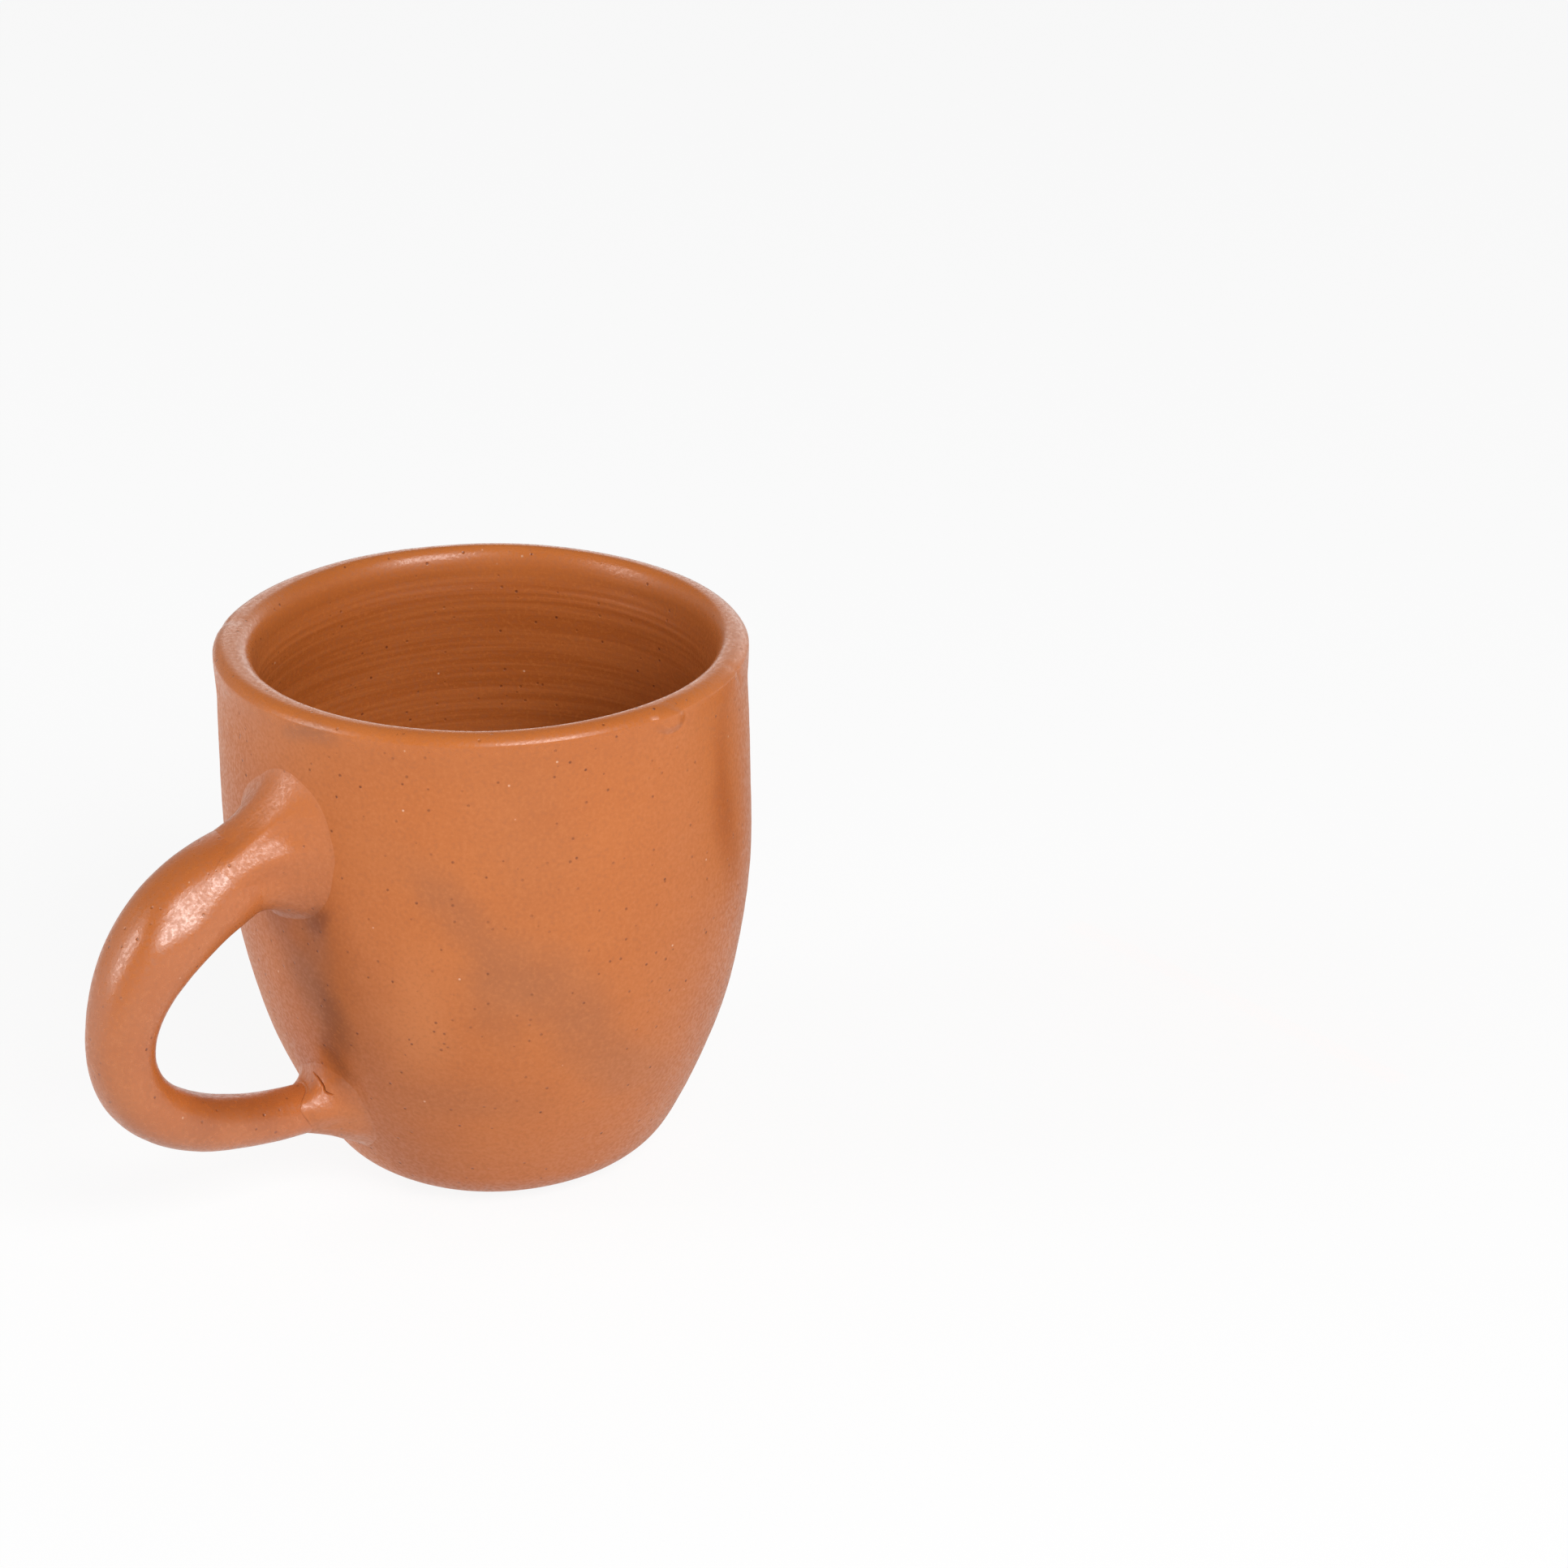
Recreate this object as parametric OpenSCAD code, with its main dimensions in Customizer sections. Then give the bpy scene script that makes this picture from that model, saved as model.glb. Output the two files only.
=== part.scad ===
// Wheel-thrown terracotta tea cup with an ear handle luted to its wall.
// Millimetres. The origin is the middle of the foot, on the table.
// +Z is up and +X points out through the handle.

/* [Cup body] */
// Height from the table to the top of the lip
cup_h = 92.5; // [86:0.5:102]
// Outside diameter at the belly, the widest part of the wall
belly_d = 88; // [80:1:100]
// Height of the belly above the table
belly_z = 60.5; // [56:0.5:66]
// Radius of the curve that the wall follows from the belly down to the foot
lower_curve_r = 107; // [98:1:130]
// Radius of the curve that the wall follows from the belly up to the neck
upper_curve_r = 750; // [400:10:1200]
// Radius of the soft turn from the wall under to the flat foot
foot_round = 14; // [8:0.5:18]
// Thickness of the wall
wall_t = 5; // [4:0.25:6.5]
// Thickness of the floor
floor_t = 7; // [5:0.5:10]
// Radius of the curve where the inside of the wall runs into the floor
inside_round = 12; // [8:0.5:18]

/* [Lip] */
// Height of the lip above the neck
lip_h = 9; // [6:0.5:12]
// How far the lip stands out from the neck under it
lip_out = 0.35; // [0.2:0.05:1.2]
// Thickness of the lip
lip_t = 4.9; // [4.3:0.1:6.5]
// Radius of the outer edge of the lip
lip_outer_round = 2.1; // [1:0.1:2.6]
// Radius of the inner edge of the lip
lip_inner_round = 1.8; // [0.8:0.1:2.4]

/* [Handle] */
// Distance from the top of the lip down to the middle of the upper root
upper_root_drop = 26.5; // [24:0.5:31]
// Height of the middle of the lower root on the wall
lower_root_z = 18.5; // [16:0.5:24]
// How far the middle of the coil stands out from the belly
handle_reach = 31.2; // [27:0.1:38]
// Height at which the coil stands out furthest
handle_mid_z = 40; // [36:0.5:46]
// Angle by which the coil drops as it leaves the upper root
upper_drop = 0.5; // [0:0.5:12]
// Angle by which the coil rises as it leaves the lower root
lower_rise = 2; // [0:0.5:12]
// Pull of the upper root on the curve: a longer one makes a squarer shoulder
upper_lead = 17.5; // [12:0.5:21]
// Pull of the lower root on the curve: a longer one makes a straighter tail
lower_lead = 20; // [14:0.5:24]
// Pull of the furthest point on the curve above it
upper_bend = 13; // [9:0.5:17]
// Pull of the furthest point on the curve below it
lower_bend = 14.7; // [11:0.1:19]
// Thickness of the coil at its upper root
coil_root_t = 13.8; // [11:0.1:15]
// Thickness of the coil at its shoulder
coil_shoulder_t = 15; // [13:0.1:17]
// Thickness of the coil at its furthest point
coil_bend_t = 10.4; // [9:0.1:13]
// Thickness of the coil at its tail, by the lower root
coil_tail_t = 7.9; // [6.5:0.1:9.5]
// How much wider than thick the coil is
coil_extra_w = 0.8; // [0:0.1:2]
// Squareness of the coil's section: 2 is an ellipse
coil_square = 2.3; // [2:0.1:3]

/* [Joints] */
// Thickness of the slip that beds the coil's ends on the wall
slip_t = 0.4; // [0.2:0.1:1]
// Width of the upper collar where it is smoothed on to the wall
upper_collar_w = 28; // [24:0.5:33]
// Height of the upper collar where it is smoothed on to the wall
upper_collar_h = 27; // [24:0.5:29]
// How much further up than down the upper collar is smoothed
upper_collar_rise = 2.5; // [0:0.5:3]
// Length of the upper collar along the coil
upper_collar_l = 9.5; // [7:0.5:12]
// Width of the lower collar where it is smoothed on to the wall
lower_collar_w = 21; // [16:0.5:25]
// Height of the lower collar where it is smoothed on to the wall
lower_collar_h = 18.5; // [14:0.5:20]
// Length of the lower collar along the coil
lower_collar_l = 7; // [5:0.5:9]
// Thickness of the thin edges of both collars
collar_edge_t = 0.5; // [0.3:0.05:0.8]

/* [Hidden] */
$fn = 96;

// Room left between the wall and what is bedded on it
seat_gap = 0.03;
// Corners of one ring of the coil
ring_sides = 32;
// Rings of the coil between its two collars
coil_rings = 26;
// Rings of a collar along the coil
collar_rings = 6;
// Rings from the middle of a bedded face to its edge
bed_rings = 3;
// Places along the coil are numbered: 0 is the upper root, 1 the furthest point, 2 the lower root
upper_end = 0;
furthest = 1;
lower_end = 2;
// The coil swells from its upper root to its shoulder, which starts and ends at these places
shoulder_starts = 0.3;
shoulder_ends = 0.35;
// It has thinned to its bend at the first of these places, and thins to its tail from the second
bend_starts = 1.05;
tail_starts = 1.25;
// The halvings that find a place on the wall or on the coil
halvings = 26;
// How far a corner may lie from the wall before it is bedded
seat_search = 12;

// The outside of the wall: three arcs that run into each other
belly_r = belly_d / 2;
lower_centre = [belly_r - lower_curve_r, belly_z];
upper_centre = [belly_r - upper_curve_r, belly_z];
foot_x = lower_centre.x + sqrt(pow(lower_curve_r - foot_round, 2) - pow(belly_z - foot_round, 2));
foot_centre = [foot_x, foot_round];
foot_angle = atan2(foot_round - belly_z, foot_x - lower_centre.x);
foot_top_z = belly_z + lower_curve_r * sin(foot_angle);

// The inside of the wall: the same arcs, a wall's thickness in, and a curve into the floor
inside_lower_r = lower_curve_r - wall_t;
inside_upper_r = upper_curve_r - wall_t;
inside_z = floor_t + inside_round;
inside_x = lower_centre.x + sqrt(pow(inside_lower_r - inside_round, 2) - pow(belly_z - inside_z, 2));
inside_angle = atan2(inside_z - belly_z, inside_x - lower_centre.x);

// The neck and the lip
neck_z = cup_h - lip_h;
neck_angle = asin((neck_z - belly_z) / upper_curve_r);
neck_outside = upper_centre + upper_curve_r * [cos(neck_angle), sin(neck_angle)];
neck_inside = upper_centre + inside_upper_r * [cos(neck_angle), sin(neck_angle)];
lip_r = neck_outside.x + lip_out;
lip_outside = [lip_r, cup_h - lip_outer_round];
lip_inside = [lip_r - lip_t, cup_h - lip_inner_round];

// Points of an arc after its first one, which the stretch before it has drawn
function arc(centre, r, from, to, steps) =
    [for (i = [1:steps]) let (a = from + (to - from) * i / steps) centre + r * [cos(a), sin(a)]];

// A soft start and a soft stop between 0 and 1
function ease(u) = (1 - cos(180 * min(1, max(0, u)))) / 2;

// Points of a soft S from one point to another, after its first one
function swell(from, to, steps) =
    [for (i = [1:steps]) let (u = i / steps) [from.x + (to.x - from.x) * ease(u), from.y + (to.y - from.y) * u]];

cup_outline = concat(
    [[0, 0], [foot_x, 0]],
    arc(foot_centre, foot_round, -90, foot_angle, 12),
    arc(lower_centre, lower_curve_r, foot_angle, 0, 24),
    arc(upper_centre, upper_curve_r, 0, neck_angle, 5),
    swell(neck_outside, lip_outside, 8),
    arc(lip_outside - [lip_outer_round, 0], lip_outer_round, 0, 90, 8),
    [[lip_inside.x + lip_inner_round, cup_h]],
    arc(lip_inside + [lip_inner_round, 0], lip_inner_round, 90, 180, 8),
    swell(lip_inside, neck_inside, 8),
    arc(upper_centre, inside_upper_r, neck_angle, 0, 5),
    arc(lower_centre, inside_lower_r, 0, inside_angle, 24),
    arc([inside_x, inside_z], inside_round, inside_angle, -90, 10),
    [[0, floor_t]]);

// Radius of the outside of the wall at a height
function wall_r(z) =
    z < foot_top_z ? foot_x + sqrt(max(0, pow(foot_round, 2) - pow(foot_round - z, 2)))
    : z < belly_z ? lower_centre.x + sqrt(pow(lower_curve_r, 2) - pow(belly_z - z, 2))
    : z < neck_z ? upper_centre.x + sqrt(pow(upper_curve_r, 2) - pow(z - belly_z, 2))
    : neck_outside.x + lip_out * ease((z - neck_z) / (lip_outside.y - neck_z));

// The middle line of the coil: two curves that meet, upright, at the furthest point
upper_root_z = cup_h - upper_root_drop;
upper_root = [wall_r(upper_root_z), 0, upper_root_z];
lower_root = [wall_r(lower_root_z), 0, lower_root_z];
handle_far = [belly_r + handle_reach, 0, handle_mid_z];
upper_half = [
    upper_root,
    upper_root + upper_lead * [cos(upper_drop), 0, -sin(upper_drop)],
    handle_far + [0, 0, upper_bend],
    handle_far];
lower_half = [
    handle_far,
    handle_far - [0, 0, lower_bend],
    lower_root + lower_lead * [cos(lower_rise), 0, sin(lower_rise)],
    lower_root];

function half(k) = k < furthest ? upper_half : lower_half;
function share(k) = k < furthest ? k : k - furthest;
function bezier(c, t) =
    pow(1 - t, 3) * c[0] + 3 * pow(1 - t, 2) * t * c[1] + 3 * (1 - t) * t * t * c[2] + pow(t, 3) * c[3];
function slope(c, t) =
    pow(1 - t, 2) * (c[1] - c[0]) + 2 * (1 - t) * t * (c[2] - c[1]) + t * t * (c[3] - c[2]);
function middle(k) = bezier(half(k), share(k));
function heading(k) = let (v = slope(half(k), share(k))) v / norm(v);

// Thickness of the coil at a place along it
function coil_t(k) =
    coil_tail_t
    + (coil_bend_t - coil_tail_t) * (1 - ease((k - tail_starts) / (lower_end - tail_starts)))
    + (coil_shoulder_t - coil_bend_t) * (1 - ease((k - shoulder_ends) / (bend_starts - shoulder_ends)))
    - (coil_shoulder_t - coil_root_t) * (1 - ease((k - upper_end) / (shoulder_starts - upper_end)));

// Size of the coil's section at a place along it: width across, then thickness
function coil_size(k) = [coil_t(k) + coil_extra_w, coil_t(k)];

// A rounded section of a given width and thickness, square to the coil's middle line, or lifted off it
function rounded(v) = sign(v) * pow(abs(v), 2 / coil_square);
function ring(k, size, lift = 0) =
    let (a = heading(k), up = [-a.z, 0, a.x])
    [for (i = [0:ring_sides - 1])
        let (q = 360 * i / ring_sides)
        middle(k) + up * (lift + size[1] / 2 * rounded(cos(q))) + [0, 1, 0] * size[0] / 2 * rounded(sin(q))];

// How far a point has to move along a direction to lie on the outside of the wall
function wall_gap(p) = norm([p.x, p.y]) - wall_r(p.z);
function to_wall(p, d, low = -seat_search, high = seat_search, n = halvings) =
    let (m = (low + high) / 2)
    n == 0 ? m : wall_gap(p + m * d) > 0 ? to_wall(p, d, low, m, n - 1) : to_wall(p, d, m, high, n - 1);

// The place along the coil that lies a given distance from one of its ends
function place_at(end, distance, low = 0, high = furthest, n = halvings) =
    let (m = (low + high) / 2, k = abs(end - m))
    n == 0 ? k
    : norm(middle(k) - middle(end)) > distance ? place_at(end, distance, low, m, n - 1)
    : place_at(end, distance, m, high, n - 1);

// A root of the handle: its end of the coil, the place where its collar stops, and its way out of the wall
upper_joint = [upper_end, place_at(upper_end, upper_collar_l), heading(upper_end)];
lower_joint = [lower_end, place_at(lower_end, lower_collar_l), -heading(lower_end)];
function joint_end(joint) = joint[0];
function joint_way(joint) = joint[2];
function joint_place(joint, u) = joint[0] + (joint[1] - joint[0]) * u;

// A ring of a joint: bedded on the wall at u = 0, square to the coil at u = 1
function seated_ring(joint, u, size, gap, lift = 0) =
    let (
        flat = ring(joint_end(joint), size, lift),
        free = ring(joint_place(joint, u), size, lift),
        d = joint_way(joint))
    [for (i = [0:ring_sides - 1]) free[i] + d * (to_wall(flat[i], d) + seat_gap + gap) * (1 - u)];

// The coil's own ring within a joint
function coil_ring(joint, u) = seated_ring(joint, u, coil_size(joint_place(joint, u)), slip_t);

// The rings of a bedded face, from its middle to just inside its edge, and the face's middle point
function bed(joint, gap) =
    [for (i = [1:bed_rings - 1]) seated_ring(joint, 0, coil_size(joint_end(joint)) * i / bed_rings, gap)];
function bed_middle(joint, gap) = middle(joint_end(joint)) + joint_way(joint) * (seat_gap + gap);

function backwards(list) = [for (i = [len(list) - 1:-1:0]) list[i]];

// Triangles between rings: each row is joined to the next, and the last to the first where they go round
function strips(rows, goes_round) =
    [for (i = [0:rows - (goes_round ? 1 : 2)], j = [0:ring_sides - 1])
        let (
            here = i * ring_sides,
            next = ((i + 1) % rows) * ring_sides,
            turn = (j + 1) % ring_sides)
        each [[here + j, here + turn, next + turn], [here + j, next + turn, next + j]]];

// A solid skinned over rings from one middle point to another
module skinned(rings, first, last) {
    count = len(rings) * ring_sides;
    end_row = count - ring_sides;
    first_fan = [for (j = [0:ring_sides - 1]) [count, (j + 1) % ring_sides, j]];
    last_fan = [for (j = [0:ring_sides - 1]) [count + 1, end_row + j, end_row + (j + 1) % ring_sides]];
    polyhedron(
        points = concat([for (r = rings) each r], [first, last]),
        faces = concat(strips(len(rings), false), first_fan, last_fan));
}

// A solid skinned over rings that come back to the first one
module skinned_round(rings) {
    polyhedron(points = [for (r = rings) each r], faces = strips(len(rings), true));
}

// The fillet of a collar: 1 where it lies on the wall, 0 where it has run into the coil
function fillet(u) = 1 - sqrt(1 - pow(1 - u, 2));

// Rings of a collar: out along its fillet, back along the coil, and out again over the wall
function collar_rows(joint, wall_size, rise) =
    let (
        root_size = coil_size(joint_end(joint)),
        edge = [collar_edge_t, collar_edge_t] * 2,
        outside = [for (i = [0:collar_rings])
            let (u = i / collar_rings, size = coil_size(joint_place(joint, u)))
            seated_ring(
                joint, u, size + edge + (wall_size - root_size - edge) * fillet(u), collar_edge_t, rise * fillet(u))],
        inside = [for (i = [collar_rings:-1:0]) coil_ring(joint, i / collar_rings)],
        on_wall = [for (i = [0:bed_rings])
            seated_ring(joint, 0, root_size + (wall_size - root_size) * i / bed_rings, 0, rise * i / bed_rings)])
    concat(outside, inside, on_wall);

// The thrown cup: floor, wall and lip in one piece of clay
module cup_body() {
    color("#c2754a") rotate_extrude() polygon(cup_outline);
}

// The rolled coil, thick at its shoulder and thin at its tail
module handle_coil() {
    from = joint_place(upper_joint, 1);
    to = joint_place(lower_joint, 1);
    between = [for (i = [1:coil_rings - 1]) let (k = from + (to - from) * i / coil_rings) ring(k, coil_size(k))];
    rings = concat(
        bed(upper_joint, slip_t),
        [for (i = [0:collar_rings]) coil_ring(upper_joint, i / collar_rings)],
        between,
        [for (i = [collar_rings:-1:0]) coil_ring(lower_joint, i / collar_rings)],
        backwards(bed(lower_joint, slip_t)));
    color("#cc8157") skinned(rings, bed_middle(upper_joint, slip_t), bed_middle(lower_joint, slip_t));
}

// A bed of slip between the wall and an end of the coil, listed from the wall outwards
function slip_rows(joint) =
    concat(
        bed(joint, 0),
        [seated_ring(joint, 0, coil_size(joint_end(joint)), 0), coil_ring(joint, 0)],
        backwards(bed(joint, slip_t)));

module upper_slip_bed() {
    color("#a8623c") skinned(slip_rows(upper_joint), bed_middle(upper_joint, 0), bed_middle(upper_joint, slip_t));
}

// The lower bed runs the other way along the coil, so its rings are taken from the coil to the wall
module lower_slip_bed() {
    color("#a8623c")
        skinned(backwards(slip_rows(lower_joint)), bed_middle(lower_joint, slip_t), bed_middle(lower_joint, 0));
}

// Clay pressed round the root of the coil and smoothed out on to the wall
module upper_collar() {
    color("#c77b50") skinned_round(collar_rows(upper_joint, [upper_collar_w, upper_collar_h], upper_collar_rise));
}

module lower_collar() {
    color("#c77b50") skinned_round(backwards(collar_rows(lower_joint, [lower_collar_w, lower_collar_h], 0)));
}

cup_body();
handle_coil();
upper_slip_bed();
lower_slip_bed();
upper_collar();
lower_collar();
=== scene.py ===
import math

import bmesh
import bpy
from mathutils import Matrix, Vector, noise


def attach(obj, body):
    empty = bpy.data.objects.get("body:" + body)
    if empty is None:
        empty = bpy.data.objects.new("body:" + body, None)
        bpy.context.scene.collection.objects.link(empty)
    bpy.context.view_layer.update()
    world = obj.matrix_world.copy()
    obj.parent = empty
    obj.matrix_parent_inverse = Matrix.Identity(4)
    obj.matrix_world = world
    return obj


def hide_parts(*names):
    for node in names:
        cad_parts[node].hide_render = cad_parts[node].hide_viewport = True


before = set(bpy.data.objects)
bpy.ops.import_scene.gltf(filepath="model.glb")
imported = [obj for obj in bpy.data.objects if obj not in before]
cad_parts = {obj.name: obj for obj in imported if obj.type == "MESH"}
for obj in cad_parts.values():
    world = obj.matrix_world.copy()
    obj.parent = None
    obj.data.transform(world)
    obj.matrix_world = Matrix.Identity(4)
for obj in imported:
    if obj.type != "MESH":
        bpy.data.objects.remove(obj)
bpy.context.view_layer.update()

# Cup body
# Thrown on a wheel from red clay: floor, wall and lip are one piece, a little out of true.
# The outside was ribbed smooth and burnished before a low firing; the inside keeps the marks of the throwing.

mm = 0.001
cup_h = 92.5
belly_r, belly_z = 44.0, 60.5
lower_curve_r, upper_curve_r = 107.0, 750.0
foot_round = 14.0
wall_t, floor_t, inside_round = 5.0, 7.0, 12.0
lip_h, lip_out, lip_t = 9.0, 0.35, 4.9
lip_outer_round, lip_edge_round, lip_edge_turn = 2.8, 0.8, 30
lip_inner_round, lip_inner_drop = 2.2, 4.2
wheel_steps = 272

lower_x = belly_r - lower_curve_r
upper_x = belly_r - upper_curve_r
foot_x = lower_x + math.sqrt((lower_curve_r - foot_round) ** 2 - (belly_z - foot_round) ** 2)
foot_turn = math.degrees(math.atan2(belly_z - foot_round, foot_x - lower_x))
foot_top_z = belly_z - lower_curve_r * math.sin(math.radians(foot_turn))
neck_z = cup_h - lip_h
edge_share = math.radians(lip_edge_turn)
lip_top_r = lip_edge_round * (1 - math.cos(edge_share)) + lip_outer_round * math.cos(edge_share)
lip_edge_z = cup_h - lip_edge_round * math.sin(edge_share) - lip_outer_round * (1 - math.sin(edge_share))
neck_turn = math.degrees(math.asin((neck_z - belly_z) / upper_curve_r))
neck_r = upper_x + upper_curve_r * math.cos(math.radians(neck_turn))
lip_r = neck_r + lip_out
inside_lower_r, inside_upper_r = lower_curve_r - wall_t, upper_curve_r - wall_t
inside_z = floor_t + inside_round
inside_x = lower_x + math.sqrt((inside_lower_r - inside_round) ** 2 - (belly_z - inside_z) ** 2)
inside_turn = math.degrees(math.atan2(belly_z - inside_z, inside_x - lower_x))
neck_inside = (upper_x + inside_upper_r * math.cos(math.radians(neck_turn)),
               belly_z + inside_upper_r * math.sin(math.radians(neck_turn)))


def ease(u):
    """A soft start and a soft stop between 0 and 1."""
    return (1 - math.cos(math.pi * min(1, max(0, u)))) / 2


def draw_line(bm, tip, x, z, steps, soft=False):
    """Draws the cup's outline on from its tip, straight or in a soft S."""
    start = tip.co.copy()
    for i in range(1, steps + 1):
        u = i / steps
        tip = bmesh.ops.extrude_vert_indiv(bm, verts=[tip])["verts"][0]
        across = ease(u) if soft else u
        tip.co = (start.x + (x - start.x) * across, 0, start.z + (z - start.z) * u)
    return tip


def draw_arc(bm, tip, x, z, degrees, steps):
    """Draws the cup's outline on from its tip, round a centre."""
    made = bmesh.ops.spin(bm, geom=[tip], cent=(x, 0, z), axis=(0, -1, 0), angle=math.radians(degrees),
                          steps=steps)
    return [g for g in made["geom_last"] if isinstance(g, bmesh.types.BMVert)][0]


cup_clay = bmesh.new()
inside = cup_clay.verts.layers.float.new("inside")
tip = bmesh.ops.create_vert(cup_clay, co=(0, 0, 0))["vert"][0]
tip = draw_line(cup_clay, tip, foot_x, 0, 14)
tip = draw_arc(cup_clay, tip, foot_x, foot_round, 90 - foot_turn, 20)
tip = draw_arc(cup_clay, tip, lower_x, belly_z, foot_turn, 64)
tip = draw_arc(cup_clay, tip, upper_x, belly_z, neck_turn, 26)
tip = draw_line(cup_clay, tip, lip_r, lip_edge_z, 12, soft=True)
tip = draw_arc(cup_clay, tip, lip_r - lip_edge_round, lip_edge_z, lip_edge_turn, 5)
tip = draw_arc(cup_clay, tip, lip_r - lip_top_r, cup_h - lip_outer_round, 90 - lip_edge_turn, 7)
outside_count = len(cup_clay.verts)
tip = draw_line(cup_clay, tip, lip_r - lip_t + lip_inner_round, cup_h, 2)
roll_start = len(cup_clay.verts)
tip = draw_arc(cup_clay, tip, lip_r - lip_t + lip_inner_round, cup_h - lip_inner_round, 90, 14)
cup_clay.verts.ensure_lookup_table()
for v in cup_clay.verts[roll_start:]:
    v.co.z = cup_h - (cup_h - v.co.z) * lip_inner_drop / lip_inner_round
tip = draw_line(cup_clay, tip, neck_inside[0], neck_inside[1], 16, soft=True)
tip = draw_arc(cup_clay, tip, upper_x, belly_z, -neck_turn, 36)
tip = draw_arc(cup_clay, tip, lower_x, belly_z, -inside_turn, 72)
tip = draw_arc(cup_clay, tip, inside_x, inside_z, inside_turn - 90, 16)
tip = draw_line(cup_clay, tip, 0, floor_t, 24)
cup_clay.verts.ensure_lookup_table()
for v in cup_clay.verts[outside_count:]:
    v[inside] = ease((cup_h + 0.5 - v.co.z) / lip_h)
bmesh.ops.spin(cup_clay, geom=cup_clay.verts[:] + cup_clay.edges[:], cent=(0, 0, 0), axis=(0, 0, 1),
               angle=math.tau, steps=wheel_steps, use_merge=True)
bmesh.ops.remove_doubles(cup_clay, verts=cup_clay.verts[:], dist=0.001)


# How far the wall strays from a true round: an oval, the press of the palm, the ripple of the rib,
# and the side where it swells out at the top
oval_depth, palm_depth, rib_depth = 0.10, 0.10, 0.04
swell_side, swell_depth = math.radians(320.7), 0.55
# Dents of the thumb that pressed the handle on: turn, height, reach, depth
thumb_dents = [(10.0, 30.0, 4.2, 0.40), (15.5, 25.0, 3.4, 0.22), (10.5, 54.0, 5.0, 0.35)]
# Swells low on two sides of the wall, where the clay was pushed out, and a hollow under one of them
wall_swells = [(-36.0, 22.5, 13.0, -0.50), (146.0, 27.0, 15.0, -0.38), (146.0, 8.0, 11.0, 0.42),
               (144.0, 52.0, 22.0, 0.12), (44.0, 3.0, 30.0, -0.25)]


def out_of_true(angle, z):
    """How far the thrown wall stands out from a true round."""
    way = Vector((math.cos(angle), math.sin(angle), 0))
    oval = oval_depth * noise.noise(way * 0.9 + Vector((3.1, 0, z / 60)))
    palm = palm_depth * noise.noise(way * 4 + Vector((0, 1.3, z / 15)))
    rib = rib_depth * noise.noise(way * 1.6 + Vector((0, 7.7, z / 2.4)))
    swell = swell_depth * max(0, math.cos(angle - swell_side)) ** 2 * ease((z - 40) / 35)
    dents = sum(depth * (1 - ease(math.hypot((angle - math.radians(turn)) * belly_r, z - high) / reach))
                for turn, high, reach, depth in thumb_dents + wall_swells)
    return (oval + palm + rib) * ease(z / 10) + swell - dents


ring_pitch, ring_depth = 3.1, 0.015
# Grooves of a fingertip under the lip: how far down from the lip, depth
finger_grooves, groove_w = ((6.9, 0.06), (8.3, 0.10), (9.6, 0.07)), 0.35


def throwing_rings(angle, z):
    """The rings that the fingers left on the inside of the wall."""
    way = Vector((math.cos(angle), math.sin(angle), 0))
    drift = noise.noise(way + Vector((0, 0, z / 9)))
    ring = math.sin(math.tau * z / ring_pitch + angle + 2.5 * drift) * (0.5 + noise.noise(Vector((z / 7, 4.2, 0))))
    groove = sum(depth * math.exp(-((z - cup_h + drop + 0.5 * drift) / groove_w) ** 2)
                 for drop, depth in finger_grooves)
    return ring_depth * ring + groove * ease(0.5 + 1.5 * noise.noise(way * 1.3 + Vector((5.0, 0, 0))))


# Marks of the hand on the lip: a lump of clay pressed on its outside with a crease under it, a nick in its
# outer edge, a crease, the side where it is thicker, and its lean
lip_lump = (math.radians(95.6), 90.3)
lump_w, lump_h, lump_depth, lump_edge = 2.9, 2.0, 0.55, 1.4
under_lump_depth, under_lump_w = 0.10, 0.16
lip_nick, nick_depth, nick_w = math.radians(311.5), 0.26, 1.6
lip_crease, crease_depth, crease_w = math.radians(125.0), 0.18, 0.5
lip_full_side, full_side_t, far_side_t = math.radians(324.0), 1.6, 0.5
lean_from, lip_rise, lip_lean, lip_wave = 74.0, 0.2, 0.0175, 0.16


def lip_marks(angle, z):
    """How far the outside of the lip stands out at its lump, its nick and its crease."""
    across, up = (angle - lip_lump[0]) * lip_r, z - lip_lump[1]
    round_the_lump = math.hypot(across / lump_w, (up + 0.2 * across) / lump_h)
    lump = lump_depth * ease((lump_edge - round_the_lump) / 0.8)
    under = under_lump_depth * math.exp(-((round_the_lump - lump_edge) / under_lump_w) ** 2) * ease(-up)
    slant = (angle - lip_crease) * lip_r + 0.7 * (z - 90)
    crease = -crease_depth * math.exp(-(slant / crease_w) ** 2) * ease((z - 86) / 3)
    return lump - under + crease


def near_lump(v):
    """Whether a point of the outside lies round the lump."""
    return v.co.z > 86.5 and v[inside] == 0 and abs(math.atan2(v.co.y, v.co.x) - lip_lump[0]) < 0.15


# Finer clay round the lump, so that its edge comes out crisp
lump_edges = [e for e in cup_clay.edges if all(near_lump(v) for v in e.verts)]
bmesh.ops.subdivide_edges(cup_clay, edges=lump_edges, cuts=2, use_grid_fill=True)

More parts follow.
